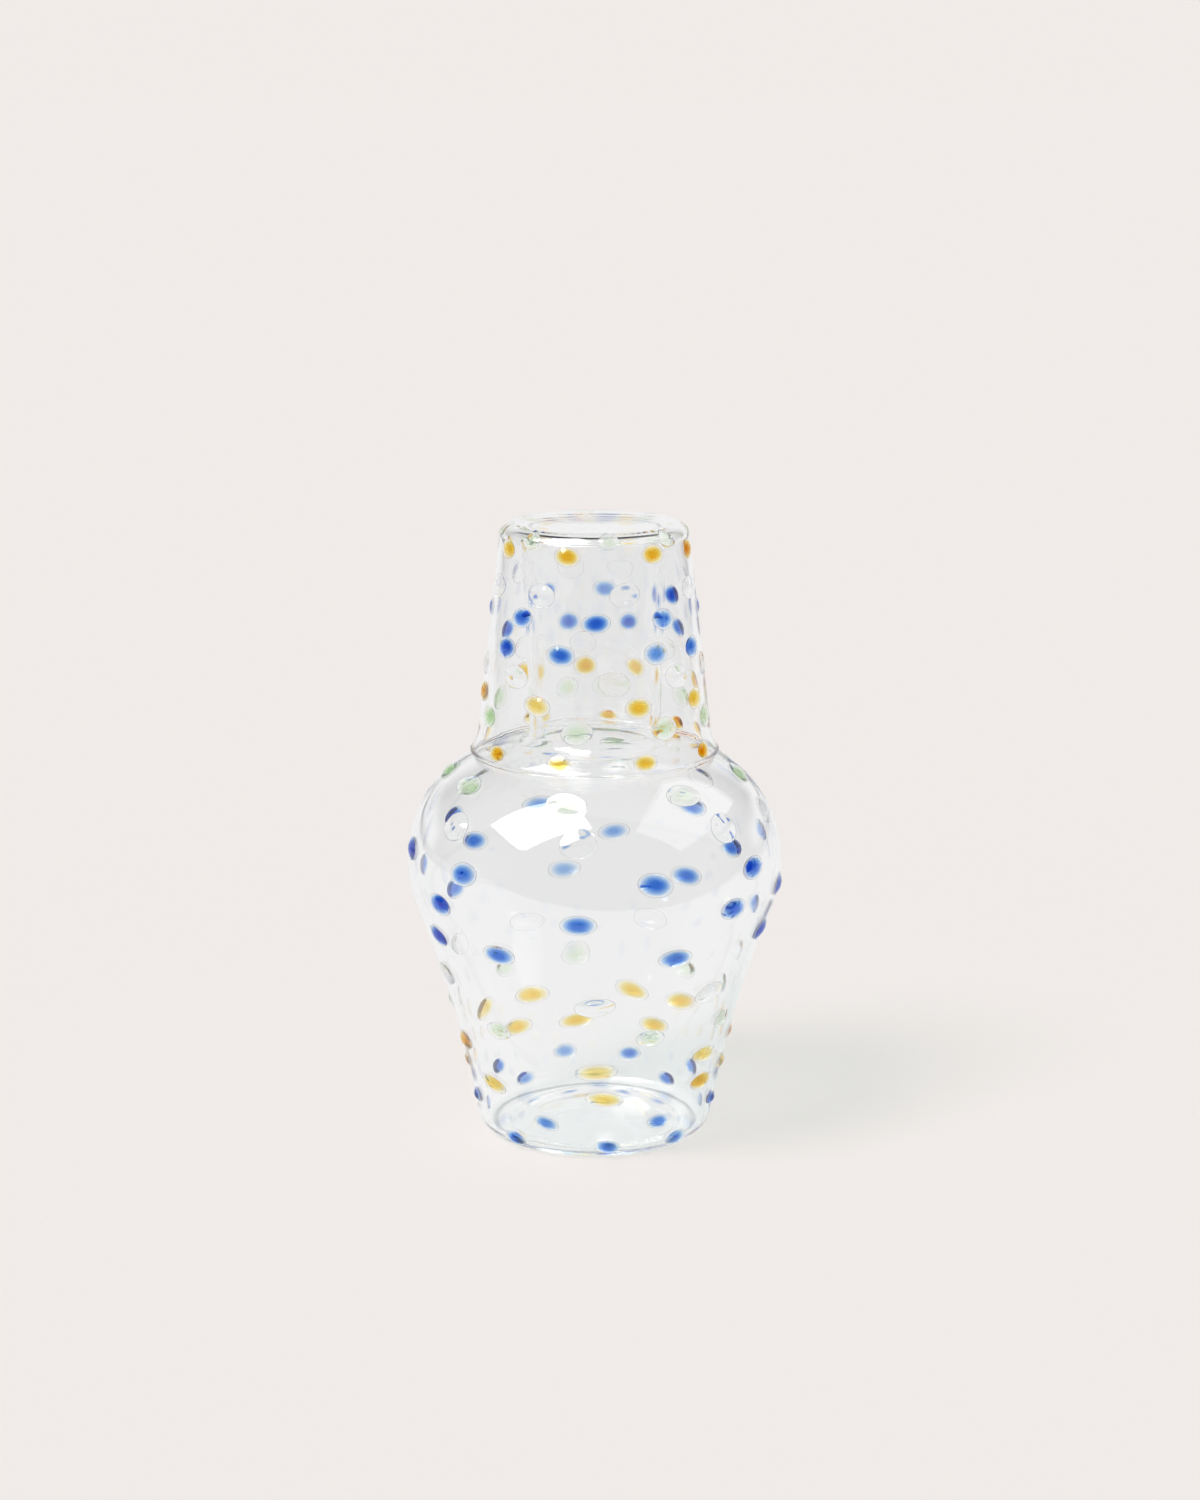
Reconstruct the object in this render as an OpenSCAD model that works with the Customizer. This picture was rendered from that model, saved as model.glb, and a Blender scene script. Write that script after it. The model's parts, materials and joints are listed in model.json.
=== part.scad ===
// Bedside carafe with a tumbler that stands upside down over its neck.
// Both are clear blown glass, with rows of coloured glass dots melted on to the outside.
// Millimetres, +Z up, origin at the middle of the base, front towards -Y.

/* [Carafe] */
// Greatest diameter of the belly
belly_d = 121; // [114:0.5:128]
// Height of the widest point of the belly
belly_z = 90; // [82:0.5:98]
// Radius of the belly and shoulder, seen from the side
belly_curve = 39; // [36:0.5:42]
// Radius of the hollow curve of the wall below the belly
flank_curve = 430; // [340:10:560]
// Lean of the wall where the belly passes into the flank, in degrees
flank_lean = 20.5; // [18:0.5:22]
// Rounding between the flank and the base
heel_curve = 5; // [4:0.5:6.5]
// Rounding between the flank and the floor, inside
inner_heel_curve = 3; // [2:0.5:5]
// Thickness of the carafe's wall
carafe_wall = 2; // [1.6:0.1:2.4]
// Thickness of the floor, at the heel and over the push-up
carafe_floor = 2.2; // [1.8:0.1:3]
// Diameter of the push-up in the base
push_up_d = 54; // [44:1:58]
// Height of the push-up
push_up_h = 7; // [4:0.5:9]

/* [Neck] */
// Outer diameter at the foot of the neck
neck_d = 42; // [36:0.5:44]
// Outer diameter at the mouth
mouth_d = 46; // [40:0.5:48]
// Rounding between the shoulder and the neck
neck_fillet = 4; // [3:0.5:6]
// Radius of the fire-polished bead at the mouth
mouth_bead = 1.25; // [1.25:0.05:1.5]

/* [Tumbler] */
// Height of the tumbler
tumbler_h = 74.7; // [70:0.1:80]
// Outer diameter at the base, before the corner is rounded
tumbler_base_d = 59.4; // [57:0.1:63]
// Outer diameter where the rim begins to flare
tumbler_waist_d = 74.6; // [71:0.1:77]
// Height of the flare above the rim
flare_h = 8.5; // [7:0.1:10]
// Outer diameter at the rim
rim_d = 80; // [78.5:0.1:83]
// Radius of the fire-polished bead at the rim
rim_bead = 1.1; // [1.1:0.05:1.4]
// Rounding between the tumbler's wall and its base
tumbler_heel = 5; // [4.5:0.1:6]
// Rounding between the wall and the floor, inside
tumbler_inner_heel = 3.2; // [2:0.1:4.5]
// Thickness of the tumbler's wall
tumbler_wall = 1.8; // [1.5:0.1:2]
// Thickness of the tumbler's floor
tumbler_floor = 2; // [1.7:0.1:2.8]
// Diameter of the recess in the tumbler's base
recess_d = 42; // [34:1:44]
// Depth of the recess in the tumbler's base
recess_h = 0.7; // [0.4:0.1:1]

/* [Fit] */
// Clearance between the tumbler's rim and the shoulder it stands on
rim_clearance = 0.3; // [0.2:0.05:0.6]
// Gap between the carafe's mouth and the tumbler's floor
mouth_clearance = 2; // [1:0.1:4]

/* [Dots] */
// Width of a carafe dot of middling size
carafe_dot_w = 10; // [8:0.1:11]
// Tallness of a carafe dot of middling size
carafe_dot_t = 7; // [5.5:0.1:8]
// How far the carafe's dots stand out of the glass
carafe_dot_h = 1.2; // [0.8:0.1:1.6]
// Diameter of a tumbler dot of middling size
tumbler_dot_d = 6.8; // [5.6:0.1:7.4]
// How far the tumbler's dots stand out of the glass
tumbler_dot_h = 1; // [0.7:0.1:1.3]
// Gap between a dot's back and the glass that carries it
dot_clearance = 0.05; // [0.02:0.01:0.1]
// Unevenness of the dots' spacing round a row, in degrees
dot_wander_angle = 12; // [0:0.5:12]
// Unevenness of the dots' height in a row
dot_drift_h = 0.5; // [0:0.1:0.8]
// Height of the carafe's lowest row
carafe_first_row_z = 4.4; // [4:0.1:6]
// Distance of the flank's top row below the widest point of the belly
flank_to_belly_h = 19; // [16:0.5:22]
// Distance of the shoulder's lowest row below the widest point of the belly
shoulder_to_belly_h = 6; // [4:0.5:8]
// Distance along the shoulder from the tumbler's rim to the carafe's top row
rim_dot_clearance = 10.4; // [9:0.1:14]
// Height of the tumbler's lowest row above its rim
tumbler_first_row_z = 4.4; // [4:0.1:6]
// Distance of the wall's top row from the tumbler's base
tumbler_last_row_h = 7.2; // [6:0.1:9]
// Angle of the top row above the middle of the tumbler's heel, in degrees
heel_row_angle = 33; // [25:1:40]

/* [Hidden] */
$fn = 96;
FINE = 180;
FLANK_STEPS = 8;
FLARE_STEPS = 6;
OVERRUN = 2;
CLEAR_GLASS = [0.86, 0.92, 0.92, 0.4];
BLUE = [0.16, 0.32, 0.78];
AMBER = [0.88, 0.62, 0.08];
GREEN = [0.48, 0.66, 0.32];
CLEAR = [0.88, 0.91, 0.9];

function toward(angle) = [cos(angle), sin(angle)];
function unit(v) = v / norm(v);
// Radius of the curve of a round cap, from its width and its rise
function cap_curve(width, rise) = (width * width / 4 + rise * rise) / (2 * rise);

// Carafe: centres of the arcs of its section, each arc running into the next
belly_c = [belly_d / 2 - belly_curve, belly_z];
flank_c = belly_c + (belly_curve + flank_curve) * toward(-flank_lean);
function beside_flank(inset, height) =
    [flank_c.x - sqrt(pow(flank_curve + inset, 2) - pow(height - flank_c.y, 2)), height];
heel_c = beside_flank(heel_curve, heel_curve);
inner_heel_c = beside_flank(carafe_wall + inner_heel_curve, carafe_floor + inner_heel_curve);
neck_r = neck_d / 2;
mouth_r = mouth_d / 2;
fillet_x = neck_r + neck_fillet;
fillet_c = [fillet_x, belly_z + sqrt(pow(belly_curve + neck_fillet, 2) - pow(fillet_x - belly_c.x, 2))];
push_up_curve = cap_curve(push_up_d, push_up_h);
push_up_c = [0, push_up_h - push_up_curve];

// Tumbler: its own section, with z = 0 at the lowest point of the rim
waist = [tumbler_waist_d / 2, flare_h];
wall_lean = atan((tumbler_waist_d - tumbler_base_d) / 2 / (tumbler_h - flare_h));
wall_out = toward(wall_lean);
function beside_wall(inset, height) =
    [waist.x - (inset + (height - waist.y) * sin(wall_lean)) / cos(wall_lean), height];
tumbler_heel_c = beside_wall(tumbler_heel, tumbler_h - tumbler_heel);
tumbler_inside_h = tumbler_h - tumbler_floor;
tumbler_inner_heel_c =
    beside_wall(tumbler_wall + tumbler_inner_heel, tumbler_inside_h - tumbler_inner_heel);
rim_bead_c = [rim_d / 2 - rim_bead, rim_bead];
flare_chord = rim_bead_c - waist + tumbler_wall / 2 * wall_out;
flare_turn = 2 * (atan(-flare_chord.x / flare_chord.y) - wall_lean);
flare_curve = norm(flare_chord) / 2 / sin(flare_turn / 2) - tumbler_wall / 2;
flare_c = waist + flare_curve * wall_out;
// Point of the flare on a skin set in from the outer face, from 0 at the waist to 1 at the rim
function on_flare(inset, share) =
    flare_c - (flare_curve + inset) * toward(wall_lean + share * flare_turn);
recess_curve = cap_curve(recess_d, recess_h);

// Fit: the rim's bead stands on the shoulder's arc, and the mouth stops short of the tumbler's floor
seat_reach = belly_curve + rim_bead + rim_clearance;
seat_angle = acos((rim_bead_c.x - belly_c.x) / seat_reach);
tumbler_z = belly_z + seat_reach * sin(seat_angle) - rim_bead;
mouth_z = tumbler_z + tumbler_inside_h - mouth_clearance;

// Heights of the carafe's rows: shares of the way up the flank, then of the way round the shoulder
flank_last_row = belly_z - flank_to_belly_h;
shoulder_first_angle = -asin(shoulder_to_belly_h / belly_curve);
shoulder_last_angle = seat_angle - rim_dot_clearance / belly_curve * 180 / PI;
shoulder_sweep = shoulder_last_angle - shoulder_first_angle;
function up_flank(share) = carafe_first_row_z + share * (flank_last_row - carafe_first_row_z);
function round_shoulder(share) = belly_z + belly_curve * sin(shoulder_first_angle + share * shoulder_sweep);
// Heights of the tumbler's rows above its rim: shares of the way up the wall, then on the heel
wall_last_row = tumbler_h - tumbler_last_row_h;
heel_row = tumbler_heel_c.y + tumbler_heel * sin(heel_row_angle);
function up_wall(share) = tumbler_first_row_z + share * (wall_last_row - tumbler_first_row_z);

// Columns of the rows: height, number of dots, angle of the first, angle from dot to dot, seed of the
// unevenness, and the dots' width and, on the carafe, tallness against one of middling size
HEIGHT = 0;
DOTS = 1;
FIRST = 2;
STEP = 3;
SEED = 4;
WIDTH = 5;
TALL = 6;
// Carafe's rows from the bottom up. Angles run from the front towards +X, and the last gap is what is left.
carafe_rows = [
    [up_flank(0), 8, -43, 44, 5309, 0.7, 0.66],
    [up_flank(0.107), 8, -19, 43.5, 2978, 0.7, 0.74],
    [up_flank(0.264), 8, -46, 46, 46, 0.96, 0.8],
    [up_flank(0.414), 8, 1, 41.5, 2201, 1.04, 0.86],
    [up_flank(0.572), 8, -33, 44.5, 147, 0.8, 0.91],
    [up_flank(0.76), 7, 0, 50, 970, 1.04, 1.03],
    [up_flank(1), 8, -28, 45, 2289, 1, 1],
    [round_shoulder(0), 8, -5, 44.5, 488, 0.96, 0.94],
    [round_shoulder(0.305), 8, 13, 45, 5880, 0.96, 1],
    [round_shoulder(0.657), 8, -50, 45.5, 1279, 0.94, 1.26],
    [round_shoulder(1), 8, -57, 46, 5230, 1.04, 1.09]
];
// Tumbler's rows from its rim up, as it stands
tumbler_rows = [
    [up_wall(0), 9, -56, 40, 4662, 0.9],
    [up_wall(0.155), 8, -62, 45, 2552, 1.07],
    [up_wall(0.266), 8, -75, 44, 222, 1],
    [up_wall(0.393), 8, -42, 45, 5508, 1.13],
    [up_wall(0.52), 8, -60, 44, 1504, 1],
    [up_wall(0.686), 8, -44, 44, 740, 0.97],
    [up_wall(0.813), 8, -28, 45, 4487, 1.1],
    [up_wall(1), 8, -62, 45, 978, 0.93],
    [heel_row, 8, -40, 45, 14169, 0.77]
];

// Spot on the glass at a height: distance from the axis, height, and tilt of the surface above level
function spot(point, tilt) = [point.x, point.y, tilt];
function carafe_spot(height) =
    let (on_belly = height > belly_z - belly_curve * sin(flank_lean))
    let (belly_tilt = asin((height - belly_z) / belly_curve))
    let (flank_tilt = -asin((height - flank_c.y) / flank_curve))
    on_belly ? spot(belly_c + belly_curve * toward(belly_tilt), belly_tilt)
    : spot(flank_c - flank_curve * toward(flank_tilt), flank_tilt);
function tumbler_spot(height) =
    let (flare_tilt = -asin((height - flare_c.y) / flare_curve))
    let (heel_tilt = asin((height - tumbler_heel_c.y) / tumbler_heel))
    height < flare_h ? spot(flare_c - flare_curve * toward(flare_tilt), flare_tilt)
    : height < tumbler_heel_c.y + tumbler_heel * sin(wall_lean) ? spot(beside_wall(0, height), wall_lean)
    : spot(tumbler_heel_c + tumbler_heel * toward(heel_tilt), heel_tilt);

module disc(centre, radius) {
    translate(centre)
        circle(radius, $fn = FINE);
}

// Right half of a disc that reaches across the axis
module half_disc(centre, radius) {
    intersection() {
        disc(centre, radius);
        translate([0, centre.y - radius])
            square(2 * radius + centre.x);
    }
}

// Carafe's section from the axis out to a skin set in from its outer face
module carafe_section(inset, floor_z, heel, heel_at, top_z) {
    heel_lean = atan((heel_at.y - flank_c.y) / (flank_c.x - heel_at.x));
    lean_step = (flank_lean - heel_lean) / FLANK_STEPS;
    flank = [for (i = [0 : FLANK_STEPS])
        flank_c - (flank_curve + inset) * toward(-heel_lean - i * lean_step)];
    shoulder_end = belly_c + (belly_curve - inset) * unit(fillet_c - belly_c);
    polygon(concat([[0, floor_z], [heel_at.x, floor_z], heel_at], flank, [[0, belly_z]]));
    disc(heel_at, heel);
    half_disc(belly_c, belly_curve - inset);
    difference() {
        polygon([[0, belly_z], shoulder_end, fillet_c, [0, fillet_c.y]]);
        disc(fillet_c, neck_fillet + inset);
    }
    polygon([[0, fillet_c.y], [neck_r - inset, fillet_c.y], [mouth_r - inset, top_z], [0, top_z]]);
}

module carafe_outside(grown) {
    carafe_section(-grown, -grown, heel_curve + grown, heel_c, mouth_z - mouth_bead);
}

module carafe_inside() {
    difference() {
        carafe_section(carafe_wall, carafe_floor, inner_heel_curve, inner_heel_c, mouth_z + OVERRUN);
        disc(push_up_c, push_up_curve + carafe_floor);
    }
}

module carafe_glass() {
    color(CLEAR_GLASS)
        rotate_extrude($fn = FINE) {
            difference() {
                carafe_outside(0);
                carafe_inside();
                disc(push_up_c, push_up_curve);
            }
            disc([mouth_r - carafe_wall / 2, mouth_z - mouth_bead], mouth_bead);
        }
}

// Tumbler's section from the axis out to a skin set in from its outer face
module tumbler_section(inset, foot_z, top_z, heel, heel_at) {
    flare = [for (i = [FLARE_STEPS : -1 : 0]) on_flare(inset, i / FLARE_STEPS)];
    foot = [[0, foot_z], [flare[0].x, foot_z]];
    polygon(concat(foot, flare, [heel_at + heel * wall_out, heel_at, [heel_at.x, top_z], [0, top_z]]));
    disc(heel_at, heel);
}

module tumbler_outside(grown, foot_z) {
    tumbler_section(-grown, foot_z, tumbler_h + grown, tumbler_heel + grown, tumbler_heel_c);
}

module tumbler_inside() {
    tumbler_section(tumbler_wall, -OVERRUN, tumbler_inside_h, tumbler_inner_heel, tumbler_inner_heel_c);
}

module tumbler_glass() {
    color(CLEAR_GLASS)
        translate([0, 0, tumbler_z])
            rotate_extrude($fn = FINE) {
                difference() {
                    tumbler_outside(0, rim_bead);
                    tumbler_inside();
                    disc([0, tumbler_h - recess_h + recess_curve], recess_curve);
                }
                disc(rim_bead_c, rim_bead);
            }
}

// Puts a drop of glass on its spot, turned to face out
module at_spot(angle, place) {
    rotate([0, 0, angle - 90])
        translate([place[0], 0, place[1]])
            rotate([0, -place[2], 0])
                children();
}

// Long drop before it is cut to the carafe: the outer edge of a ring
module long_drop(width, tallness, proud) {
    long_curve = cap_curve(width, proud);
    tall_curve = cap_curve(tallness, proud);
    translate([proud - long_curve, 0, 0])
        rotate_extrude()
            intersection() {
                translate([long_curve - tall_curve, 0])
                    circle(tall_curve);
                translate([0, -tall_curve])
                    square([long_curve, 2 * tall_curve]);
            }
}

// Round drop before it is cut to the tumbler: an oval dome whose middle lies as far under the
// wall as its top stands proud, so that it is widest, by 2 / sqrt(3), inside the glass
module round_drop(width, proud) {
    rotate([0, 90, 0])
        rotate_extrude()
            intersection() {
                translate([0, -proud])
                    scale([width / sqrt(3), 2 * proud])
                        circle(1);
                translate([0, -proud])
                    square([width, 2 * proud]);
            }
}

// Angle and height of each dot of a row
function dot_places(row) =
    let (dots = row[DOTS])
    let (uneven = rands(-1, 1, 2 * dots, row[SEED]))
    [for (i = [0 : dots - 1])
        [row[FIRST] + i * row[STEP] + dot_wander_angle * uneven[i],
         row[HEIGHT] + dot_drift_h * uneven[dots + i]]];

module carafe_row(index, tint) {
    row = carafe_rows[index - 1];
    color(tint)
        difference() {
            for (place = dot_places(row))
                at_spot(place[0], carafe_spot(place[1]))
                    long_drop(carafe_dot_w * row[WIDTH], carafe_dot_t * row[TALL], carafe_dot_h);
            rotate_extrude($fn = FINE)
                carafe_outside(dot_clearance);
        }
}

module tumbler_row(index, tint) {
    row = tumbler_rows[index - 1];
    color(tint)
        translate([0, 0, tumbler_z])
            difference() {
                for (place = dot_places(row))
                    at_spot(place[0], tumbler_spot(place[1]))
                        round_drop(tumbler_dot_d * row[WIDTH], tumbler_dot_h);
                rotate_extrude($fn = FINE) {
                    tumbler_outside(dot_clearance, -tumbler_h);
                    disc(rim_bead_c, rim_bead + dot_clearance);
                }
            }
}

carafe_glass();
carafe_row(1, BLUE);  // carafe_row_01_blue
carafe_row(2, BLUE);  // carafe_row_02_blue
carafe_row(3, AMBER);  // carafe_row_03_amber
carafe_row(4, AMBER);  // carafe_row_04_amber
carafe_row(5, GREEN);  // carafe_row_05_green
carafe_row(6, CLEAR);  // carafe_row_06_clear
carafe_row(7, BLUE);  // carafe_row_07_blue
carafe_row(8, BLUE);  // carafe_row_08_blue
carafe_row(9, BLUE);  // carafe_row_09_blue
carafe_row(10, CLEAR);  // carafe_row_10_clear
carafe_row(11, GREEN);  // carafe_row_11_green
tumbler_glass();
tumbler_row(1, AMBER);  // tumbler_row_1_amber
tumbler_row(2, GREEN);  // tumbler_row_2_green
tumbler_row(3, AMBER);  // tumbler_row_3_amber
tumbler_row(4, CLEAR);  // tumbler_row_4_clear
tumbler_row(5, BLUE);  // tumbler_row_5_blue
tumbler_row(6, BLUE);  // tumbler_row_6_blue
tumbler_row(7, CLEAR);  // tumbler_row_7_clear
tumbler_row(8, AMBER);  // tumbler_row_8_amber
tumbler_row(9, GREEN);  // tumbler_row_9_green
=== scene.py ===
"""Bedside carafe with its tumbler upside down over the neck: blown glass with melted-on glass dots."""
import json
import math
import random

import bpy
from bpy.props import FloatProperty, FloatVectorProperty, IntProperty, PointerProperty
from mathutils import Matrix, Vector


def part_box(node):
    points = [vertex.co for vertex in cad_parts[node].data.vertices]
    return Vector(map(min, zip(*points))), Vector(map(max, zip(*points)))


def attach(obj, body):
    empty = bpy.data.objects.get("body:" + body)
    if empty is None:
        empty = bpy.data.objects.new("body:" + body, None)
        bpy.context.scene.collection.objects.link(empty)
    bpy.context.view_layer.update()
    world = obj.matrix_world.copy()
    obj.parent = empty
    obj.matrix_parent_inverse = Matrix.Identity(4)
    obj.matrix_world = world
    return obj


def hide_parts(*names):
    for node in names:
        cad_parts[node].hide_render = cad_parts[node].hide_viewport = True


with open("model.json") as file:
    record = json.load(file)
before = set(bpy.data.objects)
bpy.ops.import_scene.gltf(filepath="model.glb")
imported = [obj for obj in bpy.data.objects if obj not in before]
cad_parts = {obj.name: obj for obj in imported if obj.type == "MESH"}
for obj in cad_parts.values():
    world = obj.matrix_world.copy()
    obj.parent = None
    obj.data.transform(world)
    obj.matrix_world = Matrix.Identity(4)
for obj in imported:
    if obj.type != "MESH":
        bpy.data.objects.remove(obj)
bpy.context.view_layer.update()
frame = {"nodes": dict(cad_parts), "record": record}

bl_info = {
    "name": "Dotted Bedside Carafe",
    "version": (1, 0, 0),
    "blender": (4, 5, 0),
    "location": "3D View > Sidebar > Carafe",
    "description": "Blown glass carafe with a tumbler for a lid, set with rows of coloured glass dots",
    "category": "Add Mesh",
}

# Heights of the tumbler's rim and base and of the carafe's mouth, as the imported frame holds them
TUMBLER_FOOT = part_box("tumbler_glass")[0][2]
TUMBLER_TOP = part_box("tumbler_glass")[1][2]
MOUTH_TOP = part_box("carafe_glass")[1][2]

# Steps along each stretch of the two sections
CARAFE_STEPS = {"push_up": 20, "base": 4, "heel": 10, "flank": 40, "belly": 50, "fillet": 8, "neck": 24,
                "mouth": 14, "floor": 3}
TUMBLER_STEPS = {"recess": 16, "base": 3, "heel": 14, "wall": 60, "flare": 14, "rim": 18, "inner_heel": 12,
                 "floor": 14}
# Width of the narrow ring that keeps the push-up's edge crisp
CRISP_EDGE = 0.0006
# Points of a turned shape that lie closer than this are one
WELD = 2e-6
# Where the uneven inner face ends: below the mouth, above the carafe's floor and below the tumbler's floor
MOUTH_MARGIN = 0.004
CARAFE_FLOOR_MARGIN = 0.001
TUMBLER_FLOOR_MARGIN = 0.002
# Lowest point at which the carafe's outer wall is looked up, and least cosine of its tilt
LOWEST_WALL = 0.001
LEAST_WALL_COSINE = 0.3

# The row on the round heel, whose beads lie lower than the others
HEEL_ROW = "tumbler_row_9_green"
# Gap in azimuth that parts one packed bead from the next
BEAD_GAP = math.radians(2.5)
# Greatest chance turn of a bead on its wall, and least cosine of the tilt that foreshortens it
BEAD_TWIST = math.radians(12)
LEAST_BEAD_COSINE = 0.35
# Rings of a bead's flat back, of its dome and of its coloured core, and the steps round dome and core
BACK_RINGS = (0.5, 0.95, 0.98)
BEAD_RINGS = 8
CORE_RINGS = 6
BEAD_SIDES = 32
CORE_SIDES = 24
# How softly dome and core run out at their edges
BEAD_SOFTNESS = 1.5
CORE_SOFTNESS = 1.9
# How far a bead's edge and its flat back lie under the face of the wall
EDGE_SINK = 0.00002
BACK_SINK = 0.00006

# How strongly a metre of each glass takes up light, and the share of that for a bead outside its core
DENSITIES = {"blue": 2400.0, "amber": 2000.0, "green": 230.0}
CLEAR_DENSITY = 4.5
RIM_TINT = 0.04
# Refraction of a core, which lies inside glass and bends no light itself
CORE_IOR = 1.0
# Height and fineness of the striae in the walls and in the beads, and their squeeze along the axis
WALL_STRIAE = (0.00005, 60.0)
BEAD_STRIAE = (0.00006, 260.0)
STRIAE_SQUEEZE = (1.0, 1.0, 0.35)
STRIAE_DETAIL = 2.0
# Traces of handling: fineness, detail, where in the noise they begin and end, and how rough they are
HANDLING_SCALE = 90.0
HANDLING_DETAIL = 3.0
HANDLING_RANGE = (0.5, 0.8)
HANDLING_ROUGHNESS = 0.03
# Sockets of a mix node that carry colours
MIX_INPUTS = (6, 7)
MIX_RESULT = 2

# Bounces that light needs to leave glass in which it is mirrored many times
BOUNCES = 96
# Light that has met fewer faces than this counts as mirrored by a wall
MIRROR_DEPTH = 5.5
# A count above this has begun
BEGUN = 0.5
# Where the surroundings fade, by the height or the depth of the direction
CEILING_FADE = (math.sin(math.radians(45)), math.sin(math.radians(25)))
LEVEL_FADE = (math.sin(math.radians(16)), math.sin(math.radians(6)))
FAR_FADE = (0.35, 0.6)
NEAR_FADE = (-0.1, -0.6)
BEHIND_FADE = (0.75, 0.9)
# Floor: its radius and steps, how far it lies below the base, and a painted contact shadow: the dark ring
# where the base stands on it
FLOOR_RADIUS = 150
FLOOR_SIDES = 96
FLOOR_SINK = 0.00002
PAINTED_SHADOW_INNER = (0.0315, 0.0325)
PAINTED_SHADOW_OUTER = (0.0342, 0.0334)
# Reflected table: slant and softness of its near edge, softness of its ends and how dark it is past them
TABLE_SLANT = 0.378
EDGE_SOFTNESS = 0.01
END_SOFTNESS = 0.2
END_DARKNESS = 0.6
# Azimuth, elevation, roll, distance, width and height of each softbox, and the point that they face
KEY_SOFTBOX = (math.radians(-55), math.radians(55), math.radians(25), 1.6, 0.93, 1.33)
FILL_SOFTBOX = (math.radians(93), math.radians(48), 0.0, 1.8, 2.3, 1.2)
FACED_POINT = Vector((0, 0, 0.1))
# Kinds of ray, and those that see the softboxes
RAYS = ("camera", "diffuse", "glossy", "transmission", "volume_scatter", "shadow")
SOFTBOX_RAYS = ("glossy", "transmission")
# Window light: its turn towards the glass and the angle over which it spreads
WINDOW_TURN = (math.radians(35), 0, math.radians(-55))
WINDOW_SPREAD = math.radians(22)
# Camera: height of the sensor in millimetres, and the nearest and farthest that it sees
SENSOR_HEIGHT = 36.0
NEAREST = 0.01
FARTHEST = 500.0


def length(name, default, description):
    """A size in metres, as a property that the sidebar shows."""
    return FloatProperty(name=name, description=description, default=default, unit="LENGTH", precision=5)


def number(name, default, description):
    """A plain number, as a property that the sidebar shows."""
    return FloatProperty(name=name, description=description, default=default)


def factor(name, default, description, least, most):
    """A factor between two limits, as a property that the sidebar shows."""
    return FloatProperty(name=name, description=description, default=default, subtype="FACTOR",
                         min=least, max=most)


def tint(name, default, description):
    """A linear colour, as a property that the sidebar shows."""
    return FloatVectorProperty(name=name, description=description, default=default, subtype="COLOR",
                               size=3, min=0.0, max=1.0)


class CarafeSizes(bpy.types.PropertyGroup):
    """Sizes of the carafe's section."""
    belly_r: length("Belly Radius", 0.0605, "Greatest radius of the belly")
    belly_z: length("Belly Height", 0.090, "Height of the widest point")
    belly_curve: length("Belly Curve", 0.039, "Radius of the belly and shoulder, seen from the side")
    flank_curve: length("Flank Curve", 0.430, "Radius of the hollow curve below the belly")
    flank_lean: FloatProperty(name="Flank Lean", description="Lean of the wall where belly and flank meet",
                              default=math.radians(20.5), subtype="ANGLE")
    heel_curve: length("Heel Curve", 0.005, "Rounding between flank and base")
    inner_heel_curve: length("Inner Heel Curve", 0.003, "Rounding between flank and floor, inside")
    wall: length("Wall", 0.002, "Thickness of the wall")
    floor: length("Floor", 0.0022, "Thickness of the floor")
    push_up_r: length("Push-up Radius", 0.027, "Radius of the push-up in the base")
    push_up_h: length("Push-up Height", 0.007, "Height of the push-up in the base")
    neck_r: length("Neck Radius", 0.021, "Outer radius at the foot of the neck")
    mouth_r: length("Mouth Radius", 0.023, "Outer radius at the mouth")
    neck_fillet: length("Neck Fillet", 0.004, "Rounding between shoulder and neck")
    mouth_bead: length("Mouth Bead", 0.00125, "Radius of the fire-polished bead at the mouth")


class TumblerSizes(bpy.types.PropertyGroup):
    """Sizes of the tumbler's section, from its rim up as it stands."""
    base_r: length("Base Radius", 0.0297, "Outer radius at the base, before the corner is rounded")
    waist_r: length("Waist Radius", 0.0373, "Outer radius where the rim begins to flare")
    flare_h: length("Flare Height", 0.0085, "Height of the flare")
    rim_r: length("Rim Radius", 0.040, "Outer radius at the rim")
    rim_bead: length("Rim Bead", 0.0011, "Radius of the fire-polished bead at the rim")
    heel: length("Heel", 0.005, "Rounding between wall and base")
    inner_heel: length("Inner Heel", 0.0032, "Rounding between wall and floor, inside")
    wall: length("Wall", 0.0018, "Thickness of the wall")
    floor: length("Floor", 0.0020, "Thickness of the floor")
    recess_r: length("Recess Radius", 0.021, "Radius of the recess in the base")
    recess_h: length("Recess Depth", 0.0007, "Depth of the recess in the base")


class DotSizes(bpy.types.PropertyGroup):
    """Form of the melted-on dots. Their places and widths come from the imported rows."""
    carafe_proud: length("Carafe Dot Rise", 0.0010, "How far the carafe's dots stand out")
    tumbler_proud: length("Tumbler Dot Rise", 0.00075, "How far the tumbler's dots stand out")
    heel_proud: length("Heel Dot Rise", 0.0003, "How far the dots on the tumbler's round heel stand out")
    carafe_root: length("Carafe Core Root", 0.0004, "Depth of the colour in the carafe's wall")
    tumbler_root: length("Tumbler Core Root", 0.0010, "Depth of the colour in the tumbler's wall")
    core_share: factor("Core Share", 0.98, "Width of the coloured core against the bead's", 0.5, 1.0)
    core_rise: factor("Core Rise", 0.82, "Rise of the coloured core against the bead's", 0.3, 0.9)
    carafe_run: factor("Carafe Bead Run", 1.15, "How much wider the carafe's beads have run", 1.0, 1.5)
    tumbler_run: factor("Tumbler Bead Run", 1.28, "How much wider the tumbler's beads have run", 1.0, 1.5)
    colour_uneven: factor("Colour Unevenness", 0.6, "Chance difference in how deep the colour goes", 0.0, 0.7)
    uneven: factor("Unevenness", 0.05, "Chance difference in a dot's width and tallness", 0.0, 0.2)


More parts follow.
